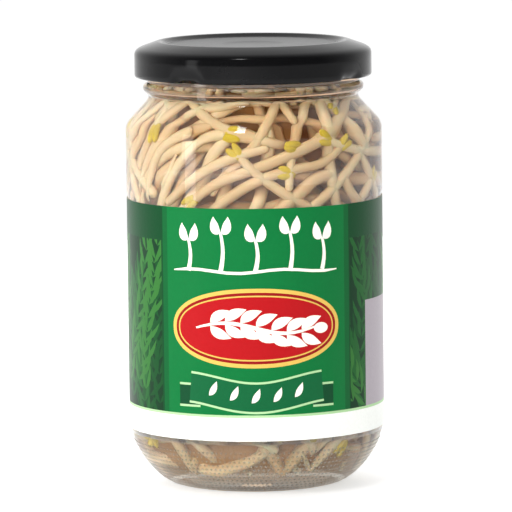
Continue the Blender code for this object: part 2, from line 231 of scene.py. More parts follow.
def link(name, mesh, *finishes):
    made = bpy.data.objects.new(name, mesh)
    bpy.context.scene.collection.objects.link(made)
    for finish in finishes:
        mesh.materials.append(finish)
    return made


def turn_faces_out(mesh, merge=None):
    """Points a mesh's faces outwards, after its doubles within a distance are merged."""
    shape = bmesh.new()
    shape.from_mesh(mesh)
    if merge:
        bmesh.ops.remove_doubles(shape, verts=shape.verts, dist=merge)
    bmesh.ops.recalc_face_normals(shape, faces=shape.faces)
    shape.to_mesh(mesh)
    shape.free()


def mesh_from(name, points, faces, smooth=True, sharp_angle=None):
    mesh = bpy.data.meshes.new(name)
    mesh.from_pydata(points, [], faces)
    turn_faces_out(mesh, merge=1e-7)
    if smooth:
        mesh.shade_smooth()
    if sharp_angle:
        mesh.set_sharp_from_angle(angle=sharp_angle)
    return mesh


def lathe(name, profile, steps, reshape=None, sharp_angle=None):
    """Turns a profile about Z, closed along the axis or as a loop.

    reshape(angle, radius, height, index) gives the radius at each point.
    """
    points = []
    for step in range(steps):
        angle = 2 * math.pi * step / steps
        for index, (radius, height) in enumerate(profile):
            there = reshape(angle, radius, height, index) if reshape else radius
            points.append((there * math.cos(angle), there * math.sin(angle), height))
    count = len(profile)
    on_axis = profile[0][0] < 1e-9
    faces = []
    for step in range(steps):
        here, there = step * count, ((step + 1) % steps) * count
        for index in range(count - 1 if on_axis else count):
            after = (index + 1) % count
            if profile[index][0] < 1e-9:
                faces.append((here + index, there + after, here + after))
            elif profile[after][0] < 1e-9:
                faces.append((here + index, there + index, here + after))
            else:
                faces.append((here + index, there + index, there + after, here + after))
    return mesh_from(name, points, faces, sharp_angle=sharp_angle)


def arc(centre, radius, start, end, count):
    return [
        (
            centre[0] + radius * math.cos(start + (end - start) * i / count),
            centre[1] + radius * math.sin(start + (end - start) * i / count),
        )
        for i in range(count + 1)
    ]


def rounded_corner(radius_in, radius_out, height_low, height_high, roundness, count):
    points = []
    for i in range(count + 1):
        turn = 0.5 * math.pi * i / count
        across = math.sin(turn) ** (2 / roundness)
        up = 1 - math.cos(turn) ** (2 / roundness)
        points.append(
            (
                radius_in + (radius_out - radius_in) * across,
                height_low + (height_high - height_low) * up,
            )
        )
    return points


def radius_on(profile, height):
    for (r0, z0), (r1, z1) in zip(profile, profile[1:]):
        if z0 <= height <= z1 and z1 > z0:
            return r0 + (r1 - r0) * (height - z0) / (z1 - z0)
    return profile[-1][0] if height > profile[-1][1] else profile[0][0]


def softened(profile, rounds=2):
    """Cuts the corners of an open profile, leaving its ends."""
    for _ in range(rounds):
        cut = [profile[0]]
        for (r0, z0), (r1, z1) in zip(profile, profile[1:]):
            cut.append((0.75 * r0 + 0.25 * r1, 0.75 * z0 + 0.25 * z1))
            cut.append((0.25 * r0 + 0.75 * r1, 0.25 * z0 + 0.75 * z1))
        profile = cut + [profile[-1]]
    return profile


BASE_RING = 22.0 * MM
SHOULDER = 99.3 * MM
NECK = (29.2 * MM, 108.9 * MM)
BEAD = (30.8 * MM, 111.3 * MM)
FINISH_RADIUS = 29.5 * MM
RIM_HEIGHT = 120.8 * MM


def outer_wall(sizes):
    """The outside of the glass, from the ring it stands on to the rim."""
    heel = rounded_corner(BASE_RING, sizes.body_radius, 0.0, sizes.heel_height, 1.6, 26)
    heel = [p for p in heel if p[0] < sizes.panel_radius - 0.03 * MM]
    panel = [
        (sizes.panel_radius, sizes.label_bottom - 0.6 * MM),
        (sizes.panel_radius, sizes.label_bottom + 9 * MM),
        (sizes.panel_radius, sizes.label_top - 9 * MM),
        (sizes.panel_radius, sizes.label_top + 0.7 * MM),
        (sizes.body_radius, sizes.label_top + 1.5 * MM),
        (sizes.body_radius, sizes.label_top + 9 * MM),
    ]
    bend = 4.6 * MM
    shoulder = arc((sizes.body_radius - bend, SHOULDER), bend, 0.0, math.radians(47), 12)
    neck = [
        (NECK[0] + 0.9 * MM, NECK[1] - 1.7 * MM),
        (NECK[0] + 0.1 * MM, NECK[1] - 0.6 * MM),
        (NECK[0] + 0.1 * MM, NECK[1] + 0.3 * MM),
        (BEAD[0] - 0.4 * MM, BEAD[1] - 1.2 * MM),
        (BEAD[0], BEAD[1] - 0.5 * MM),
        (BEAD[0], BEAD[1] + 0.4 * MM),
        (BEAD[0] - 0.4 * MM, BEAD[1] + 0.9 * MM),
        (FINISH_RADIUS, BEAD[1] + 1.5 * MM),
    ]
    finish = [(FINISH_RADIUS, BEAD[1] + 1.8 * MM + i * 0.35 * MM) for i in range(19)]
    rim = arc((FINISH_RADIUS - 1.0 * MM, RIM_HEIGHT - 1.0 * MM), 1.0 * MM, 0.0, math.pi / 2, 6)
    return heel + panel + shoulder + softened(neck) + finish + rim


def inner_wall(sizes):
    """The inside of the glass, from the middle of the floor to the rim."""
    body = sizes.body_radius - sizes.wall
    floor = rounded_corner(14.0 * MM, body, sizes.floor, sizes.heel_height + 3.0 * MM, 1.9, 16)
    shoulder = [
        (body, 30 * MM),
        (body, 60 * MM),
        (body, SHOULDER - 1.5 * MM),
        (body - 0.5 * MM, SHOULDER + 0.7 * MM),
        (body - 1.8 * MM, SHOULDER + 2.6 * MM),
        (sizes.mouth_radius + 0.8 * MM, NECK[1] - 2.1 * MM),
        (sizes.mouth_radius, NECK[1] - 0.4 * MM),
        (sizes.mouth_radius, NECK[1] + 3 * MM),
        (sizes.mouth_radius, RIM_HEIGHT - 0.9 * MM),
        (sizes.mouth_radius + 0.3 * MM, RIM_HEIGHT - 0.2 * MM),
        (sizes.mouth_radius + 0.8 * MM, RIM_HEIGHT),
    ]
    return [(0.0, sizes.floor)] + floor + softened(shoulder, 1)


LUGS = 4
LUG_REACH = 1.55 * MM


def lug_centre(lug):
    return 2 * math.pi * (lug + 0.62) / LUGS


def off_centre(angle, middle):
    return (angle - middle + math.pi) % (2 * math.pi) - math.pi


def thread_height(angle, height, sizes):
    """How far a thread ridge stands out of the finish at a place."""
    out = 0.0
    for lug in range(LUGS):
        turn = off_centre(angle, lug_centre(lug) + math.radians(27))
        share = 1 - abs(turn) / math.radians(35)
        if share <= 0:
            continue
        from_lug = turn + math.radians(27)
        low = sizes.lid_bottom + 1.65 * MM + 2.0 * MM * from_lug / math.radians(72)
        up = (height - low) / (1.3 * MM)
        if 0 <= up <= 1.3:
            crown = min(1.0, up * 6) * min(1.0, (1.3 - up) * 2.2)
            out = max(out, 1.2 * MM * crown * min(1.0, share * 4))
    return out


def turned_by_nodes(source, tree, values):
    """Runs a Geometry Nodes tree on an object and returns the result as a plain mesh."""
    modifier = source.modifiers.new("shape", "NODES")
    modifier.node_group = tree
    for item in tree.interface.items_tree:
        if item.in_out == "INPUT" and item.name in values:
            modifier[item.identifier] = values[item.name]
    graph = bpy.context.evaluated_depsgraph_get()
    mesh = bpy.data.meshes.new_from_object(source.evaluated_get(graph))
    source.modifiers.remove(modifier)
    bpy.data.objects.remove(source)
    return mesh


def new_tree(name, inputs):
    """A Geometry Nodes tree with a geometry input and output and these named inputs."""
    tree = bpy.data.node_groups.new(name, "GeometryNodeTree")
    tree.interface.new_socket(name="Geometry", in_out="INPUT", socket_type="NodeSocketGeometry")
    for title, kind in inputs:
        tree.interface.new_socket(name=title, in_out="INPUT", socket_type=kind)
    tree.interface.new_socket(name="Geometry", in_out="OUTPUT", socket_type="NodeSocketGeometry")
    return tree, tree.nodes.new("NodeGroupInput")


def end_tree(tree, shape, finish):
    """Ends a tree in real geometry with its material."""
    real = add_node(tree, "GeometryNodeRealizeInstances", {"Geometry": shape})
    smooth = add_node(tree, "GeometryNodeSetShadeSmooth", {"Geometry": real.outputs[0]})
    coated = add_node(
        tree, "GeometryNodeSetMaterial", {"Geometry": smooth.outputs[0], "Material": finish}
    )
    add_node(tree, "NodeGroupOutput", {0: coated.outputs[0]})


def dot_tree():
    """A small round grain at every point of a mesh."""
    tree, given = new_tree(
        "stipple", [("Dot radius", "NodeSocketFloat"), ("Material", "NodeSocketMaterial")]
    )
    dot = add_node(
        tree, "GeometryNodeMeshIcoSphere", {"Radius": given.outputs["Dot radius"], "Subdivisions": 1}
    )
    placed = add_node(
        tree,
        "GeometryNodeInstanceOnPoints",
        {"Points": given.outputs["Geometry"], "Instance": dot.outputs["Mesh"]},
    )
    end_tree(tree, placed.outputs[0], given.outputs["Material"])
    return tree


def stem_tree():
    """A tube along every chain of edges, as thick as the attribute thickness says."""
    tree, given = new_tree("stems", [("Sides", "NodeSocketInt"), ("Material", "NodeSocketMaterial")])
    curve = add_node(tree, "GeometryNodeMeshToCurve", {"Mesh": given.outputs["Geometry"]})
    thickness = add_node(
        tree, "GeometryNodeInputNamedAttribute", {"Name": "thickness"}, data_type="FLOAT"
    )
    section = add_node(
        tree,
        "GeometryNodeCurvePrimitiveCircle",
        {"Resolution": given.outputs["Sides"], "Radius": 1.0},
    )
    tube = add_node(
        tree,
        "GeometryNodeCurveToMesh",
        {
            "Curve": curve.outputs[0],
            "Profile Curve": section.outputs[0],
            "Scale": thickness.outputs["Attribute"],
            "Fill Caps": True,
        },
    )
    end_tree(tree, tube.outputs[0], given.outputs["Material"])
    return tree


def seed_leaf_tree():
    """A seed leaf at every point, turned as the attribute turn says."""
    tree, given = new_tree(
        "seed_leaves",
        [
            ("Length", "NodeSocketFloat"),
            ("Width", "NodeSocketFloat"),
            ("Material", "NodeSocketMaterial"),
        ],
    )
    leaf = add_node(tree, "GeometryNodeMeshIcoSphere", {"Radius": 0.5, "Subdivisions": 3})
    size = add_node(
        tree,
        "ShaderNodeCombineXYZ",
        {"X": given.outputs["Length"], "Y": given.outputs["Width"], "Z": given.outputs["Width"]},
    )
    turn = add_node(tree, "GeometryNodeInputNamedAttribute", {"Name": "turn"}, data_type="FLOAT_VECTOR")
    turned = add_node(tree, "FunctionNodeEulerToRotation", {0: turn.outputs["Attribute"]})
    placed = add_node(
        tree,
        "GeometryNodeInstanceOnPoints",
        {
            "Points": given.outputs["Geometry"],
            "Instance": leaf.outputs["Mesh"],
            "Rotation": turned.outputs[0],
            "Scale": size.outputs[0],
        },
    )
    end_tree(tree, placed.outputs[0], given.outputs["Material"])
    return tree


class OBJECT_OT_sprout_jar_glass(bpy.types.Operator):
    """Build the glass jar with its threads and the stippled heel"""

    bl_idname = "object.sprout_jar_glass"
    bl_label = "Glass Jar"

    def execute(self, context):
        sizes = context.scene.sprout_jar_sizes
        # Flint glass, pressed and blown: clear, a little green in its depth, faintly wavy.
        glass = clear_material(
            "flint_glass", (0.985, 0.995, 0.985, 1.0), 1.5, linear("#d8ecd8"), 9.0, 14.0, 0.03
        )
        under = [(0.0, 1.8 * MM), (12.0 * MM, 1.5 * MM), (19.9 * MM, 0.3 * MM), (20.4 * MM, 0.0)]
        profile = under + outer_wall(sizes) + list(reversed(inner_wall(sizes)))
        low, high = BEAD[1] + 1.8 * MM, RIM_HEIGHT - 0.8 * MM

        def threaded(angle, radius, height, index):
            if abs(radius - FINISH_RADIUS) > 1e-6 or not low < height < high:
                return radius
            return radius + thread_height(angle, height, sizes)

        jar = link("glass_jar", lathe("glass_jar", profile, 180, threaded), glass)
        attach(jar, "jar")
        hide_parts("jar_glass")

        # The mould's stipple: rows of grains, 1.35 mm apart, half sunk in the heel.
        apart = 1.35 * MM
        rows = []
        heel = rounded_corner(BASE_RING, sizes.body_radius, 0.0, sizes.heel_height, 1.6, 200)
        walked, due = 0.0, 0.0
        for before, after in zip(heel, heel[1:]):
            walked += math.dist(before, after)
            if walked >= due and 24.5 * MM < after[0] < 35.0 * MM:
                rows.append(after)
                due = walked + apart
        points = []
        for number, (radius, height) in enumerate(rows):
            count = int(2 * math.pi * radius / apart)
            for i in range(count):
                angle = 2 * math.pi * (i + 0.5 * (number % 2)) / count
                sunk = radius - 0.15 * MM
                points.append((sunk * math.cos(angle), sunk * math.sin(angle), height + 0.12 * MM))
        grains = bpy.data.meshes.new("grain_points")
        grains.from_pydata(points, [], [])
        source = link("grain_points", grains)
        mesh = turned_by_nodes(source, dot_tree(), {"Dot radius": 0.36 * MM, "Material": glass})
        stipple = link("heel_stipple", mesh)
        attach(stipple, "jar")
        return {"FINISHED"}


class OBJECT_OT_sprout_jar_brine(bpy.types.Operator):
    """Fill the jar with brine up to its level"""

    bl_idname = "object.sprout_jar_brine"
    bl_label = "Brine"

    def execute(self, context):
        sizes = context.scene.sprout_jar_sizes
        # Salt water that has drawn on the sprouts: clear, straw-coloured through a few centimetres.
        liquid = clear_material(
            "straw_brine", (1.0, 0.99, 0.97, 1.0), 1.34, linear("#f2d3ac"), 48.0, 30.0, 0.004
        )
        # It laps 0.1 mm into the wall, so that no layer of air shows between them.
        wall = [(r + 0.1 * MM, z) for r, z in inner_wall(sizes) if z < sizes.brine_level - 1 * MM]
        wall[0] = (0.0, sizes.floor - 0.1 * MM)
        wall[1] = (wall[1][0], sizes.floor - 0.1 * MM)
        surface = [
            (sizes.mouth_radius + 0.1 * MM, sizes.brine_level),
            (sizes.mouth_radius - 1.2 * MM, sizes.brine_level - 0.4 * MM),
            (0.0, sizes.brine_level - 0.4 * MM),
        ]
        brine = link("brine_fill", lathe("brine_fill", wall + surface, 180), liquid)
        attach(brine, "jar")
        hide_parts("brine")
        return {"FINISHED"}


def smooth_line(values):
    middle = [(a + b + c) / 3 for a, b, c in zip(values, values[1:], values[2:])]
    return [values[0]] + middle + [values[-1]]


class Pile:
    """The space between the core and the glass, filled by laying sprouts one on another."""

    COLUMNS, ROWS = 110, 56
    LOW, HIGH = 6.2 * MM, 111.0 * MM

    def __init__(self, sizes, tangle):
        self.wall_profile = inner_wall(sizes)
        self.depth = tangle.depth
        cells = [self.LOW + (self.HIGH - self.LOW) * (i + 0.5) / self.ROWS for i in range(self.ROWS)]
        self.top = [[self.core(z)] * self.COLUMNS for z in cells]

    def wall(self, height):
        return radius_on(self.wall_profile, height) - 0.35 * MM

    def core(self, height):
        return max(2 * MM, self.wall(height) - self.depth)

    def filled(self, height):
        """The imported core's own radius. It spreads towards the glass over the floor."""
        share = min(1.0, max(0.0, (height - 10 * MM) / (14 * MM)))
        return self.wall(height) - 2 * MM - (self.depth - 2.2 * MM) * share

    def cells_near(self, angle, height, reach):
        cell_up = (self.HIGH - self.LOW) / self.ROWS
        around = 2 * math.pi / self.COLUMNS
        out = self.wall(height)
        rows = int(math.ceil(reach / cell_up))
        columns = int(math.ceil(reach / (around * out)))
        row, column = int((height - self.LOW) / cell_up), int(angle / around)
        for i in range(row - rows, row + rows + 1):
            if not 0 <= i < self.ROWS:
                continue
            up = self.LOW + (i + 0.5) * cell_up - height
            for j in range(column - columns, column + columns + 1):
                across = ((j + 0.5) * around - angle) * out
                away = math.hypot(up, across) / reach
                if away < 1:
                    yield i, j % self.COLUMNS, away

    def bed(self, path, thickness):
        """The radius at which each point of a sprout would rest on what is there."""
        need = []
        for (angle, height), half in zip(path, thickness):
            under = [self.top[i][j] for i, j, _ in self.cells_near(angle, height, half + 0.6 * MM)]
            need.append((max(under) if under else self.core(height)) + 0.85 * half)
        return need

    def squeeze(self, path, thickness):
        """How much room a path lacks, or below 0 how much it leaves, on average."""
        total = 0.0
        for (_, height), half, radius in zip(path, thickness, self.bed(path, thickness)):
            short = radius - (self.wall(height) - half)
            total += 5 * short if short > 0 else short
        return total / len(path)

    def claim(self, place):
        """Keeps later sprouts off the glass in front of a seed leaf."""
        angle = math.atan2(place.y, place.x) % (2 * math.pi)
        for i, j, _ in self.cells_near(angle, place.z, 3.2 * MM):
            self.top[i][j] = self.wall(place.z)

    def lay(self, path, thickness):
        """Lays a sprout over what is there, and returns its points."""
        need = self.bed(path, thickness)
        lie = need
        for _ in range(4):
            lie = [max(a, b) for a, b in zip(smooth_line(lie), need)]
        out = []
        for (angle, height), half, radius in zip(path, thickness, lie):
            radius = min(radius, self.wall(height) - half)
            out.append((radius * math.cos(angle), radius * math.sin(angle), height))
            for i, j, away in self.cells_near(angle, height, half + 0.5 * MM):
                self.top[i][j] = max(self.top[i][j], radius + half * math.sqrt(1 - away * away))
        return out


# How sprouts are laid: the points along each, the paths each tries, the most it may lack in room, in
# stem radii on average along it, and the shares that taper to a root or that may carry seed leaves.
SPROUT_POINTS = 25
PATHS_TRIED = 14
MOST_SQUEEZE = 4.5
ROOTED_SHARE = 0.2
HEADED_SHARE = 0.45
# The layer across the top, up to 24 mm from the axis.
TOP_SPROUTS = 18
TOP_LAYER = 107.6 * MM
TOP_REACH = 24 * MM


def sprout_thickness(share, stem, rooted):
    """The radius of a sprout from its lower end, at 0, to under its head, at 1."""
    if rooted and share < 0.3:
        return stem * (0.2 + 0.8 * (share / 0.3) ** 0.8)
    if not rooted and share < 0.12:
        return stem * (0.8 + 0.2 * share / 0.12)
    return stem * (1.0 - 0.22 * ((share - 0.3) / 0.7) ** 2)


def lie_of_bunch(angle, height):
    """The way that sprouts lie at a place, which changes slowly, as they were pushed in together."""
    swing = math.sin(2 * angle + 0.6) + 0.8 * math.sin(height / (19 * MM) + angle)
    return 0.15 + 0.75 * swing


def sprout_path(draw, count, shorter):
    """A path round the wall as (angle, height), in a long bow with a crook at its end."""
    angle, height = draw.uniform(0, 2 * math.pi), draw.uniform(Pile.LOW + 2 * MM, Pile.HIGH - 2 * MM)
    heading = lie_of_bunch(angle, height) + draw.gauss(0.0, 0.3)
    heading += math.pi if draw.random() < 0.5 else 0.0
    bend, crook = draw.gauss(0, 0.9), draw.gauss(0, 0.9)
    step = draw.uniform(42, 82) * MM * (1 - shorter) / count
    path = []
    for i in range(count):
        path.append((angle % (2 * math.pi), height))
        angle += step * math.cos(heading) / (32 * MM)
        height += step * math.sin(heading)
        heading += (bend + (2.5 * crook if i > 0.72 * count else 0.0)) / count
        if not Pile.LOW + 2 * MM < height < Pile.HIGH - 2 * MM:
            height = min(Pile.HIGH - 2 * MM, max(Pile.LOW + 2 * MM, height))
            heading = -heading
            bend = -bend
    return path


def top_sprout(draw, number, count):
    """A sprout that lies across the top of the bunch, under the brine's surface."""
    turn, aside = number * 2.4, draw.uniform(-17, 17) * MM
    reach = math.sqrt(TOP_REACH**2 - aside**2)
    height = TOP_LAYER + (number % 2) * 2.4 * MM
    line = []
    for i in range(count):
        along = reach * (2 * i / (count - 1) - 1)
        sway = aside + 1.5 * MM * math.sin(0.5 * i + number)
        x = along * math.cos(turn) - sway * math.sin(turn)
        y = along * math.sin(turn) + sway * math.cos(turn)
        line.append((x, y, height))
    return line


def rounded_ends(points, half):
    """Closes a sprout with a round end beyond each of its ends."""

    def beyond(end, before, radius):
        along = (Vector(end) - Vector(before)).normalized()
        return [
            (tuple(Vector(end) + along * radius * far), radius * share)
            for far, share in ((0.45, 0.89), (0.8, 0.6), (0.97, 0.25))
        ]

    head = beyond(points[-1], points[-2], half[-1])
    foot = list(reversed(beyond(points[0], points[1], half[0])))
    line = [p for p, _ in foot] + list(points) + [p for p, _ in head]
    thick = [r for _, r in foot] + list(half) + [r for _, r in head]
    return line, thick


def line_mesh(name, lines, attributes):
    """Chains of edges with a value of each attribute at every point."""
    points, edges = [], []
    for line in lines:
        start = len(points)
        points += line
        edges += [(start + i, start + i + 1) for i in range(len(line) - 1)]
    mesh = bpy.data.meshes.new(name)
    mesh.from_pydata(points, edges, [])
    for title, values in attributes.items():
        mesh.attributes.new(title, "FLOAT", "POINT").data.foreach_set("value", values)
    return mesh


class OBJECT_OT_sprout_jar_sprouts(bpy.types.Operator):
    """Lay the sprouts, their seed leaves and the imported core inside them"""

    bl_idname = "object.sprout_jar_sprouts"
    bl_label = "Sprouts"

    def execute(self, context):
        sizes, tangle = context.scene.sprout_jar_sizes, context.scene.sprout_jar_tangle
        colours = context.scene.sprout_jar_colours
        # Bean sprout stem: wet, crisp flesh, so the light goes a little way into it.
        flesh = mottled_material(
            "sprout_flesh",
            tuple(colours.stem_pale),
            tuple(colours.stem_tan),
            9.0,
            0.32,
            extra={"Subsurface Weight": 0.25, "Subsurface Scale": 0.0012, "IOR": 1.38},
            tone="tone",
        )
        # The bean's own seed leaves: smooth, waxy, yellow.
        yellow = mottled_material(
            "seed_leaf", tuple(colours.seed_leaf), shade(colours.seed_leaf, 0.78), 2.0, 0.4
        )
        # The inside of the bunch: a darker tan than the stems, painted shade for stems in each other's
        # shadow.
        painted_shade_core = mottled_material(
            "packed_stems_painted_shade", linear("#cb9d68"), linear("#a57744"), 5.0, 0.6, bump_mm=0.8
        )
        draw = random.Random(tangle.seed)
        pile = Pile(sizes, tangle)
        count = SPROUT_POINTS
        lines, thick, tones, heads = [], [], [], []

        def keep(points, half, tone):
            line, radii = rounded_ends(points, half)
            lines.append(line)
            thick.extend(radii)
            tones.extend([tone] * len(line))

        for number in range(tangle.count):
            stem = tangle.stem * draw.uniform(0.75, 1.12)
            rooted = draw.random() < ROOTED_SHARE
            half = [sprout_thickness(i / (count - 1), stem, rooted) for i in range(count)]
            shorter = 0.55 * number / tangle.count
            paths = [sprout_path(draw, count, shorter) for _ in range(PATHS_TRIED)]
            lack, best = min((pile.squeeze(path, half), i) for i, path in enumerate(paths))
            if lack > MOST_SQUEEZE * stem:
                continue
            points = pile.lay(paths[best], half)
            keep(points, half, draw.uniform(-0.35, 0.4))
            end = Vector(points[-1])
            if math.hypot(end.x, end.y) > pile.wall(end.z) - 5 * MM and draw.random() < HEADED_SHARE:
                along = (end - Vector(points[-3])).normalized()
                heads.append((end, along))
                pile.claim(end + along * 2.2 * MM)
        for number in range(TOP_SPROUTS):
            line = top_sprout(draw, number, count)
            half = [sprout_thickness(i / (count - 1), 0.85 * tangle.stem, False) for i in range(count)]
            keep(line, half, 0.1)
        spines = line_mesh("spines", lines, {"thickness": thick, "tone": tones})
        mesh = turned_by_nodes(
            link("spines", spines), stem_tree(), {"Sides": tangle.sides, "Material": flesh}
        )
        stems = link("bean_sprouts", mesh)

        turns, places = [], []
        for place, along in heads:
            out = Vector((place.x, place.y, 0)).normalized()
            side = out.cross(along).normalized()
            for lean in (-1, 1):
                ahead = (along + side * 0.18 * lean).normalized()
                across = out.cross(ahead).normalized()
                axes = Matrix((ahead, across, ahead.cross(across))).transposed()
                turns += list(axes.to_euler())
                spot = place + along * 2.2 * MM + side * 0.75 * lean * MM
                limit = pile.wall(spot.z) - 1.0 * MM
                flat = Vector((spot.x, spot.y, 0)).normalized() * limit
                places.append((flat.x, flat.y, spot.z))
        leaf_points = bpy.data.meshes.new("leaf_points")
        leaf_points.from_pydata(places, [], [])
        leaf_points.attributes.new("turn", "FLOAT_VECTOR", "POINT").data.foreach_set("vector", turns)
        mesh = turned_by_nodes(
            link("leaf_points", leaf_points),
            seed_leaf_tree(),
            {"Length": 5.4 * MM, "Width": 2.2 * MM, "Material": yellow},
        )
        leaves = link("seed_leaves", mesh)

        heights = [z * MM for z in (5.3, 6, 7, 8.5, 10, 12, 14.5, 17, 20, 24, *range(30, 111, 4))]
        side = [(pile.filled(z), z) for z in heights]
        # The core carries the painted shade colour of the stems deep in the bunch.
        core = link(
            "packed_core",
            lathe("packed_core", [(0.0, heights[0])] + side + [(0.0, heights[-1])], 64),
            painted_shade_core,
        )
        for piece in (stems, leaves, core):
            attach(piece, "jar")
            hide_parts("sprout_tangle")
        return {"FINISHED"}


def leaf_outline(root, heading, length, width, bend=0.25, steps=8):
    """A pointed leaf on the flat label, from its root."""
    left, right = [], []
    for i in range(steps + 1):
        share = i / steps
        turn = heading + bend * share
        x = root[0] + length * share * math.cos(turn)
        y = root[1] + length * share * math.sin(turn)
        half = 0.5 * width * math.sin(math.pi * share**0.85)
        left.append((x - half * math.sin(turn), y + half * math.cos(turn)))
        right.append((x + half * math.sin(turn), y - half * math.cos(turn)))
    return left + list(reversed(right[1:-1]))


def stroke_outline(points, widths):
    left, right = [], []
    for i, (x, y) in enumerate(points):
        before, after = points[max(i - 1, 0)], points[min(i + 1, len(points) - 1)]
        turn = math.atan2(after[1] - before[1], after[0] - before[0])
        half = 0.5 * widths[i]
        left.append((x - half * math.sin(turn), y + half * math.cos(turn)))
        right.append((x + half * math.sin(turn), y - half * math.cos(turn)))
    return left + list(reversed(right))


def oval_outline(centre, half_width, half_height, roundness, count, turn=0.0):
    points = []
    for i in range(count):
        angle = 2 * math.pi * i / count
        c, s = math.cos(angle), math.sin(angle)
        x = half_width * math.copysign(abs(c) ** (2 / roundness), c)
        y = half_height * math.copysign(abs(s) ** (2 / roundness), s)
        points.append(
            (
                centre[0] + x * math.cos(turn) - y * math.sin(turn),
                centre[1] + x * math.sin(turn) + y * math.cos(turn),
            )
        )
    return points


def box_outline(left, right, low, high):
    return [(left, low), (right, low), (right, high), (left, high)]


def clipped(outline, left, right, low, high):
    """The part of an outline inside a box."""
    for axis, edge, sign in ((0, left, 1), (0, right, -1), (1, low, 1), (1, high, -1)):
        kept = []
        for a, b in zip(outline, outline[1:] + outline[:1]):
            gone_a, gone_b = sign * (a[axis] - edge), sign * (b[axis] - edge)
            if gone_a >= 0:
                kept.append(a)
            if gone_a * gone_b < 0:
                t = gone_a / (gone_a - gone_b)
                kept.append((a[0] + t * (b[0] - a[0]), a[1] + t * (b[1] - a[1])))
        outline = kept
    return outline


def fronds(draw, left, right, low, high):
    """Feathery fronds in three greens, fanned out of a row of stalks, the deepest green first."""
    shapes = []
    for layer, ink in enumerate(("leaf_deep", "leaf_mid", "leaf_light")):
        apart = (4.0, 5.0, 6.0)[layer]
        for number in range(int((right - left) / apart)):
            x = left + apart * (number + 0.5) + draw.uniform(-2, 2)
            y = low + draw.uniform(-6, 4)
            heading = math.pi / 2 + draw.uniform(-0.4, 0.4)
            for joint in range(draw.randint(8, 13)):
                x += 4.0 * math.cos(heading)
                y += 4.0 * math.sin(heading)
                heading += draw.uniform(-0.14, 0.14)
                for side in (-1, 1):
                    turn = heading + side * draw.uniform(0.55, 0.95)
                    long = draw.uniform(6.0, 9.5)
                    leaf = leaf_outline((x, y), turn, long, 1.5, -0.35 * side, 4)
                    leaf = clipped(leaf, left, right, low, high)
                    if len(leaf) > 2:
                        shapes.append((leaf, ink))
    return shapes


def label_artwork(half_turn, lap, low, high):
    """The label's shapes from the bottom layer up, in millimetres round the jar and up."""
    draw = random.Random(21)
    band = low + 6.9
    shapes = []

    def add(outline, ink):
        shapes.append((outline, ink))

    add(box_outline(-half_turn, half_turn + lap, low, high), "field")
    # Painted shade: two darker greens in steps towards both sides of the label, where it turns away
    # from the light.
    for left, right in ((-half_turn, -26.4), (26.8, half_turn + lap)):
        add(box_outline(left, right, low, high), "field_turn_painted_shade")
    for left, right in ((-half_turn, -28.2), (28.6, half_turn + lap)):
        add(box_outline(left, right, low, high), "field_side_painted_shade")
    for left, right in ((-half_turn + 6, -28.8), (29.0, half_turn - 4)):
        add(box_outline(left, right, band, 71.0), "undergrowth")
        shapes += fronds(draw, left, right, band, 71.0)
    add(box_outline(36.0, 76.0, 19.0, 53.0), "note_panel")
    add(box_outline(-half_turn, half_turn + lap, low, band), "band")
    add(box_outline(-half_turn, half_turn + lap, band - 0.35, band + 0.35), "pale_green")
    add(box_outline(-100.0, -62.0, 30.0, 64.0), "note_panel")

    middle = (0.0, 47.5)
    for grow, name in ((0.0, "gold"), (-1.1, "deep_red"), (-1.9, "gold"), (-2.3, "badge")):
        add(oval_outline(middle, 24.5 + grow, 11.0 + grow, 2.2, 72), name)
    stalk = [(-17 + 34 * i / 16, 47.5 + 1.5 * math.sin(2 * math.pi * i / 16)) for i in range(17)]
    widths = [0.5 + 0.6 * math.sin(math.pi * i / 16) for i in range(17)]
    add(stroke_outline(stalk, widths), "cream")
    for i in range(1, 8):
        x, y = stalk[2 * i]
        for side in (-1, 1):
            leaf = leaf_outline((x, y + 0.5 * side), side * 0.85, 6.8, 2.9, -0.35 * side)
            add(leaf, "cream")
    add(oval_outline((18.6, 47.0), 2.2, 1.5, 2.0, 20), "cream")

    ground = [(-24 + 48 * i / 12, 63.2 + 0.5 * math.sin(i)) for i in range(13)]
    add(stroke_outline(ground, [0.3] + [0.8] * 11 + [0.3]), "cream")
    for i in range(5):
        x, tall = -19.2 + 9.6 * i, (8.6, 10.6)[i % 2]
        stem = [(x + 0.7 * math.sin(0.5 * t), 63.2 + tall * t / 6) for t in range(7)]
        add(stroke_outline(stem, [1.3 - 0.09 * t for t in range(7)]), "cream")
        top = stem[-1]
        add(leaf_outline(top, 0.35, 5.0, 2.9, 0.8), "cream")
        add(leaf_outline(top, math.pi - 0.35, 5.0, 2.9, -0.8), "cream")

    def wave(x):
        return 29.6 - 1.4 * math.cos(x / 6.6)

    for left, right in ((-22.5, -16.0), (16.0, 22.5)):
        tail = [(left + (right - left) * i / 4, wave(left) - 2.2) for i in range(5)]
        add(stroke_outline(tail, [6.6] * 5), "pale_green")
        add(stroke_outline(tail, [5.4] * 5), "ribbon_shade")
    line = [(-19 + 38 * i / 20, wave(-19 + 38 * i / 20)) for i in range(21)]
    add(stroke_outline(line, [8.8] * 21), "pale_green")
    add(stroke_outline(line, [7.6] * 21), "ribbon")
    for i in range(5):
        x = -13.4 + 6 * i
        add(leaf_outline((x, wave(x) - 1.4), 0.75, 4.6, 1.8, 0.3), "cream")
    return shapes


def inside(outline, x, y):
    found = False
    for (x0, y0), (x1, y1) in zip(outline, outline[1:] + outline[:1]):
        if (y0 > y) != (y1 > y) and x < x0 + (x1 - x0) * (y - y0) / (y1 - y0):
            found = not found
    return found


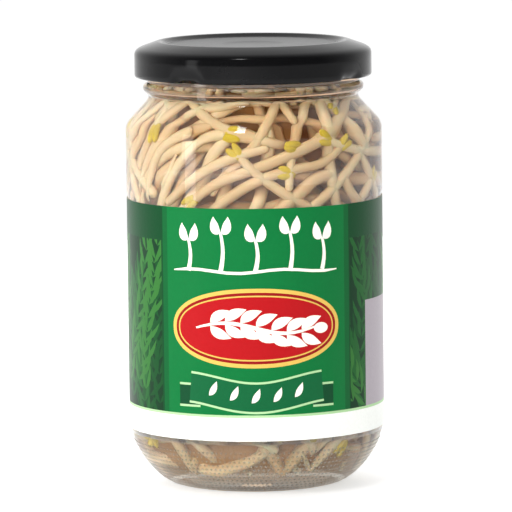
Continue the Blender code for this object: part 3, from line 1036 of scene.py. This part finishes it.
class OBJECT_OT_sprout_jar_label(bpy.types.Operator):
    """Print the paper label and wrap it round the jar"""

    bl_idname = "object.sprout_jar_label"
    bl_label = "Label"

    def execute(self, context):
        sizes, colours = context.scene.sprout_jar_sizes, context.scene.sprout_jar_colours
        inks = {
            "field": tuple(colours.field),
            # The next two greens are painted shade for the label's turning sides.
            "field_turn_painted_shade": linear("#04592a"),
            "field_side_painted_shade": linear("#04401f"),
            "undergrowth": linear("#063219"),
            "leaf_light": linear("#2f6c2d"),
            "leaf_mid": linear("#195825"),
            "leaf_deep": linear("#0b471e"),
            "note_panel": linear("#a79fa6"),
            "band": linear("#f1f3ee"),
            "pale_green": linear("#a9cf9a"),
            "gold": linear("#d9b357"),
            "deep_red": linear("#8c1015"),
            "badge": tuple(colours.badge),
            "cream": linear("#f7f1e2"),
            "ribbon": linear("#0b5c33"),
            "ribbon_shade": linear("#084426"),
        }
        names = list(inks)
        # Offset ink on coated paper: even, half glossy, with a fine grain of paper under it.
        finishes = [
            mottled_material(
                "print_" + name,
                shade(inks[name], 1.06),
                shade(inks[name], 0.92),
                0.8,
                0.34,
                bump_mm=0.02,
                extra={"Specular IOR Level": 0.12},
            )
            for name in names
        ]
        # The bare back and edges of the same paper.
        finishes.append(mottled_material("paper_back", linear("#f4f1e8"), linear("#e9e5d9"), 0.8, 0.7))
        low, high = sizes.label_bottom / MM, sizes.label_top / MM
        radius = sizes.panel_radius / MM + 0.08
        half_turn, lap = math.pi * radius, 5.4
        shapes = label_artwork(half_turn, lap, low, high)
        points, edges = [], []
        for outline, _ in shapes:
            start = len(points)
            kept = [(min(half_turn + lap, max(-half_turn, x)), y) for x, y in outline]
            points += [Vector(p) for p in kept]
            edges += [(start + i, start + (i + 1) % len(kept)) for i in range(len(kept))]
        columns = 128
        for i in range(columns + 1):
            x = -half_turn + (2 * half_turn + lap) * i / columns
            edges.append((len(points), len(points) + 1))
            points += [Vector((x, low)), Vector((x, high))]
        for z in (low + 1.2, low + 2.4):
            edges.append((len(points), len(points) + 1))
            points += [Vector((-half_turn, z)), Vector((half_turn + lap, z))]
        flat, _, faces, _, _, _ = delaunay_2d_cdt(points, edges, [], 0, 1e-4)
        bounds = [
            (min(p[0] for p in o), max(p[0] for p in o), min(p[1] for p in o), max(p[1] for p in o))
            for o, _ in shapes
        ]
        inks_of = []
        for face in faces:
            x = sum(flat[v].x for v in face) / len(face)
            y = sum(flat[v].y for v in face) / len(face)
            for (outline, ink), (x0, x1, y0, y1) in zip(reversed(shapes), reversed(bounds)):
                if x0 <= x <= x1 and y0 <= y <= y1 and inside(outline, x, y):
                    inks_of.append(names.index(ink))
                    break
            else:
                inks_of.append(names.index("field"))
        wall = outer_wall(sizes)

        def bent(p, out):
            height = p.y * MM
            base = min(sizes.panel_radius, radius_on(wall, height)) + (0.08 + out) * MM
            base += 0.24 * MM * min(1.0, max(0.0, (p.x - half_turn + 3) / 3))
            angle = -math.pi / 2 + p.x / radius
            return (base * math.cos(angle), base * math.sin(angle), height)

        rounded = [bent(p, 0.14) for p in flat]
        every = [tuple(face) for face in faces]
        sides = {(a, b) for face in every for a, b in zip(face, face[1:] + face[:1])}
        follows = {a: b for a, b in sides if (b, a) not in sides}
        start = next(iter(follows))
        rim = [start]
        while follows[rim[-1]] != start:
            rim.append(follows[rim[-1]])
        back = len(rounded)
        rounded += [bent(flat[v], 0.0) for v in rim]
        count = len(rim)
        every += [
            (rim[(i + 1) % count], rim[i], back + i, back + (i + 1) % count) for i in range(count)
        ]

        def along_edge(axis, value):
            """The rim's points on one of the label's four edges, in order along it."""
            on_edge = (v for v in rim if abs(flat[v][axis] - value) < 1e-3)
            return sorted(on_edge, key=lambda v: flat[v][1 - axis])

        # The plain back: both long edges are walked together, and joined by narrow triangles.
        place = {v: back + i for i, v in enumerate(rim)}
        lower, upper = along_edge(1, low), along_edge(1, high)
        first, last = along_edge(0, -half_turn), along_edge(0, half_turn + lap)
        every.append(tuple(place[v] for v in first) + (place[upper[1]], place[lower[1]]))
        i, j = 1, 1
        while i < len(lower) - 2 or j < len(upper) - 2:
            step_low = j >= len(upper) - 2 or (
                i < len(lower) - 2 and flat[lower[i + 1]].x <= flat[upper[j + 1]].x
            )
            a, b = lower[i], upper[j]
            c = lower[i + 1] if step_low else upper[j + 1]
            every.append((place[a], place[b], place[c]))
            i, j = (i + 1, j) if step_low else (i, j + 1)
        every.append((place[lower[i]], place[upper[j]]) + tuple(place[v] for v in reversed(last)))
        mesh = bpy.data.meshes.new("wrap_label")
        mesh.from_pydata(rounded, [], every)
        paper = len(names)
        marks = inks_of + [paper] * (len(every) - len(inks_of))
        for finish in finishes:
            mesh.materials.append(finish)
        mesh.polygons.foreach_set("material_index", marks)
        turn_faces_out(mesh)
        mesh.shade_smooth()
        mesh.set_sharp_from_angle(angle=math.radians(40))
        label = link("wrap_label", mesh)
        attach(label, "jar")
        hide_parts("label")
        return {"FINISHED"}


def lug_press(angle):
    """0 away from the lugs, 1 across the flat of each."""
    pressed = 0.0
    for lug in range(LUGS):
        t = (abs(off_centre(angle, lug_centre(lug))) - math.radians(4)) / math.radians(5)
        t = min(1.0, max(0.0, t))
        pressed = max(pressed, 1 - t * t * (3 - 2 * t))
    return pressed


def lid_profile(sizes):
    """(radius, height, share of a lug's press), from the panel's middle out, down and back inside."""
    top, low, skirt = sizes.lid_top, sizes.lid_bottom, sizes.lid_radius
    crest, panel, button = 26.4 * MM, sizes.lid_top - 1.0 * MM, sizes.lid_top - 1.35 * MM
    curl, button_edge = skirt - 0.85 * MM, 0.5 * (button + panel)
    # Each row: a radius and millimetres from it, a height and millimetres from it, and the press.
    outside = [
        (0, 0, button, 0, 0),
        (0, 7.4, button, 0, 0),
        (0, 8.5, button_edge, 0, 0),
        (0, 9.6, panel, 0, 0),
        (crest, -2.6, panel, 0, 0),
        (crest, -2.0, panel, 0.12, 0),
        (crest, -1.2, top, -0.25, 0),
        (crest, -0.6, top, -0.05, 0),
        (crest, -0.1, top, 0, 0),
        (crest, 0.6, top, -0.12, 0),
        (skirt, -1.9, top, -1.6, 0),
        (skirt, -1.2, top, -1.95, 0),
        (skirt, -0.6, top, -2.35, 0),
        (skirt, -0.2, top, -2.85, 0),
        (skirt, 0, top, -3.5, 0),
        (skirt, 0, top, -5, 0),
        (skirt, 0, low, 2.6, 0),
        (skirt, 0, low, 1.6, 0.2),
        (skirt, 0, low, 0.75, 0.75),
        (skirt, -0.08, low, 0.4, 0.9),
        (skirt, -0.3, low, 0.12, 0.97),
        (curl, 0, low, 0, 1),
    ]
    within = [
        (curl, -0.45, low, 0.1, 1),
        (curl, -0.75, low, 0.4, 1),
        (curl, -0.85, low, 0.75, 1),
        (curl, -0.6, low, 1.2, 1),
        (curl, 0, low, 1.35, 0.9),
        (skirt, -0.4, low, 2.4, 0),
        (skirt, -0.4, top, -3.6, 0),
        (skirt, -1.0, top, -2.7, 0),
        (crest, 0.5, top, -0.52, 0),
        (crest, -0.9, top, -0.6, 0),
        (crest, -2.3, panel, -0.4, 0),
        (0, 9.6, panel, -0.4, 0),
        (0, 7.4, button, -0.4, 0),
        (0, 0, button, -0.4, 0),
    ]
    return [(r + x * MM, z + up * MM, press) for r, x, z, up, press in outside + within]


class OBJECT_OT_sprout_jar_lid(bpy.types.Operator):
    """Build the lacquered lid, and finish the sealing ring in it"""

    bl_idname = "object.sprout_jar_lid"
    bl_label = "Lid"

    def execute(self, context):
        sizes, colours = context.scene.sprout_jar_sizes, context.scene.sprout_jar_colours
        # Stoved lacquer on tinplate: glossy black, drawn smooth over the skirt.
        lacquer = mottled_material(
            "black_stoved_lacquer",
            tuple(colours.lacquer),
            shade(colours.lacquer, 1.3),
            6.0,
            0.13,
            bump_mm=0.006,
            extra={"Specular IOR Level": 0.15},
        )
        # The same lacquer over the undrawn panel keeps its orange peel, 0.7 mm from crest to crest.
        peel = mottled_material(
            "black_orange_peel_lacquer",
            tuple(colours.lacquer),
            shade(colours.lacquer, 3.0),
            0.7,
            0.32,
            bump_mm=0.05,
            extra={"Specular IOR Level": 0.8},
        )
        # Foamed sealing compound: soft, matt, off-white.
        compound = mottled_material(
            "sealing_compound", linear("#e2ddd0"), linear("#cfc9ba"), 1.5, 0.65, bump_mm=0.05
        )
        profile = lid_profile(sizes)

        def pressed(angle, radius, height, index):
            return radius - LUG_REACH * profile[index][2] * lug_press(angle)

        outline = [(radius, height) for radius, height, _ in profile]
        mesh = lathe("twist_lid", outline, 180, pressed, sharp_angle=math.radians(50))
        lid = link("twist_lid", mesh, lacquer, peel)
        for face in mesh.polygons:
            if face.normal.z > 0.9 and math.hypot(face.center.x, face.center.y) < 24 * MM:
                face.material_index = 1
        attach(lid, "lid")
        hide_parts("lid")
        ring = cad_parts["gasket"]
        ring.data.materials.clear()
        ring.data.materials.append(compound)
        return {"FINISHED"}


def soft_box(name, place, aim, width, height, watts, mirrored=False):
    """A soft light. Only a mirrored one shows as a window in the glass and the lacquer."""
    data = bpy.data.lights.new(name, "AREA")
    data.shape = "RECTANGLE"
    data.size, data.size_y, data.energy = width, height, watts
    lamp = bpy.data.objects.new(name, data)
    lamp.location = place
    lamp.rotation_euler = (Vector(aim) - Vector(place)).to_track_quat("-Z", "Y").to_euler()
    lamp.visible_glossy = mirrored
    lamp.visible_transmission = mirrored
    bpy.context.scene.collection.objects.link(lamp)


class SCENE_OT_sprout_jar_stage(bpy.types.Operator):
    """Set the floor, the lights and the camera"""

    bl_idname = "scene.sprout_jar_stage"
    bl_label = "Stage"

    def execute(self, context):
        scene = context.scene
        # A product table: frosted white acrylic, lit from below, ending where the backdrop starts.
        acrylic = mottled_material(
            "frosted_acrylic",
            linear("#fbfbfb"),
            linear("#f5f5f5"),
            40.0,
            0.9,
            extra={"Emission Color": (1.0, 1.0, 1.0, 1.0), "Emission Strength": 0.35},
        )
        corners = [(-3.0, -2.5), (3.0, -2.5), (3.0, 0.6), (-3.0, 0.6)]
        floor_mesh = mesh_from("floor", [(x, y, FLOOR_Z) for x, y in corners], [(0, 1, 2, 3)], False)
        floor = link("floor", floor_mesh, acrylic)

        # A white backdrop behind the jar, falling off to a dim room on the camera's side.
        world = bpy.data.worlds.new("studio")
        world.use_nodes = True
        tree = world.node_tree
        tree.nodes.clear()
        way = add_node(tree, "ShaderNodeTexCoord")
        parts = add_node(tree, "ShaderNodeSeparateXYZ", {0: way.outputs["Generated"]})
        glow = add_node(
            tree,
            "ShaderNodeMapRange",
            {
                "Value": parts.outputs["Y"],
                "From Min": -0.35,
                "From Max": 0.55,
                "To Min": 0.05,
                "To Max": 1.02,
            },
        )
        sky = add_node(
            tree, "ShaderNodeBackground", {"Color": (1, 1, 1, 1), "Strength": glow.outputs["Result"]}
        )
        add_node(tree, "ShaderNodeOutputWorld", {"Surface": sky.outputs[0]})
        scene.world = world
        scene.view_settings.view_transform = "Standard"
        soft_box("key_box", (-0.85, -0.6, 0.5), (0, 0, 0.06), 0.5, 0.7, 7.8)
        soft_box("fill_box", (0.8, -0.35, 0.4), (0, 0, 0.06), 0.25, 0.6, 1.5)
        soft_box("front_box", (-0.2, -1.35, 0.5), (0, 0, 0.06), 0.8, 0.5, 6.2)
        soft_box("low_box", (-0.35, -1.0, 0.08), (0, 0, 0.01), 0.5, 0.1, 2.2)
        soft_box("back_box", (0.0, 0.95, 0.6), (0, 0.25, 0), 1.8, 0.4, 7.0)
        soft_box("window_box", (-0.17, -0.58, 0.9), (0, 0, 0.1), 0.12, 0.16, 1.4, mirrored=True)
        soft_box("side_box", (-0.9, -0.5, 0.25), (0, 0, 0.1), 0.2, 0.5, 0.8, mirrored=True)

        # The camera is fitted to the photograph. Focal length and shift are in pixels of its frame.
        distance, height, aim = 1.5, 0.2393, 0.06335
        frame_width, focal, shift, roll = 512, 5389, 0.84, -0.0115
        data = bpy.data.cameras.new("camera")
        data.sensor_width, data.lens = 36.0, 36.0 * focal / frame_width
        data.clip_end = 50.0
        data.shift_x = shift / frame_width
        camera = bpy.data.objects.new("camera", data)
        pitch = math.atan((height - aim) / distance)
        tilt = Euler((math.pi / 2 - pitch, 0, 0)).to_matrix().to_4x4()
        level = Matrix.Rotation(roll, 4, "Z")
        camera.matrix_world = Matrix.Translation((0, -distance, height)) @ tilt @ level
        scene.collection.objects.link(camera)
        scene.camera = camera
        return {"FINISHED"}


STEPS = (
    OBJECT_OT_sprout_jar_glass,
    OBJECT_OT_sprout_jar_brine,
    OBJECT_OT_sprout_jar_sprouts,
    OBJECT_OT_sprout_jar_label,
    OBJECT_OT_sprout_jar_lid,
    SCENE_OT_sprout_jar_stage,
)


class VIEW3D_PT_sprout_jar(bpy.types.Panel):
    """Sizes, colours and steps of the jar"""

    bl_idname = "VIEW3D_PT_sprout_jar"
    bl_label = "Sprout Jar"
    bl_space_type = "VIEW_3D"
    bl_region_type = "UI"
    bl_category = "Sprout Jar"

    def draw(self, context):
        for group in ("sizes", "tangle", "colours"):
            values = getattr(context.scene, "sprout_jar_" + group)
            column = self.layout.column()
            for title in values.__annotations__:
                column.prop(values, title)
        for step in STEPS:
            self.layout.operator(step.bl_idname)


GROUPS = {
    "sprout_jar_sizes": SproutJarSizes,
    "sprout_jar_tangle": SproutJarTangle,
    "sprout_jar_colours": SproutJarColours,
}


def register():
    for kind in (*GROUPS.values(), *STEPS, VIEW3D_PT_sprout_jar):
        bpy.utils.register_class(kind)
    for name, kind in GROUPS.items():
        setattr(bpy.types.Scene, name, bpy.props.PointerProperty(type=kind))


def unregister():
    for name in GROUPS:
        delattr(bpy.types.Scene, name)
    for kind in (VIEW3D_PT_sprout_jar, *reversed(STEPS), *GROUPS.values()):
        bpy.utils.unregister_class(kind)


def main():
    register()
    for step in STEPS:
        group, name = step.bl_idname.split(".")
        getattr(getattr(bpy.ops, group), name)()
    bpy.context.view_layer.update()


if __name__ == "__main__":
    main()
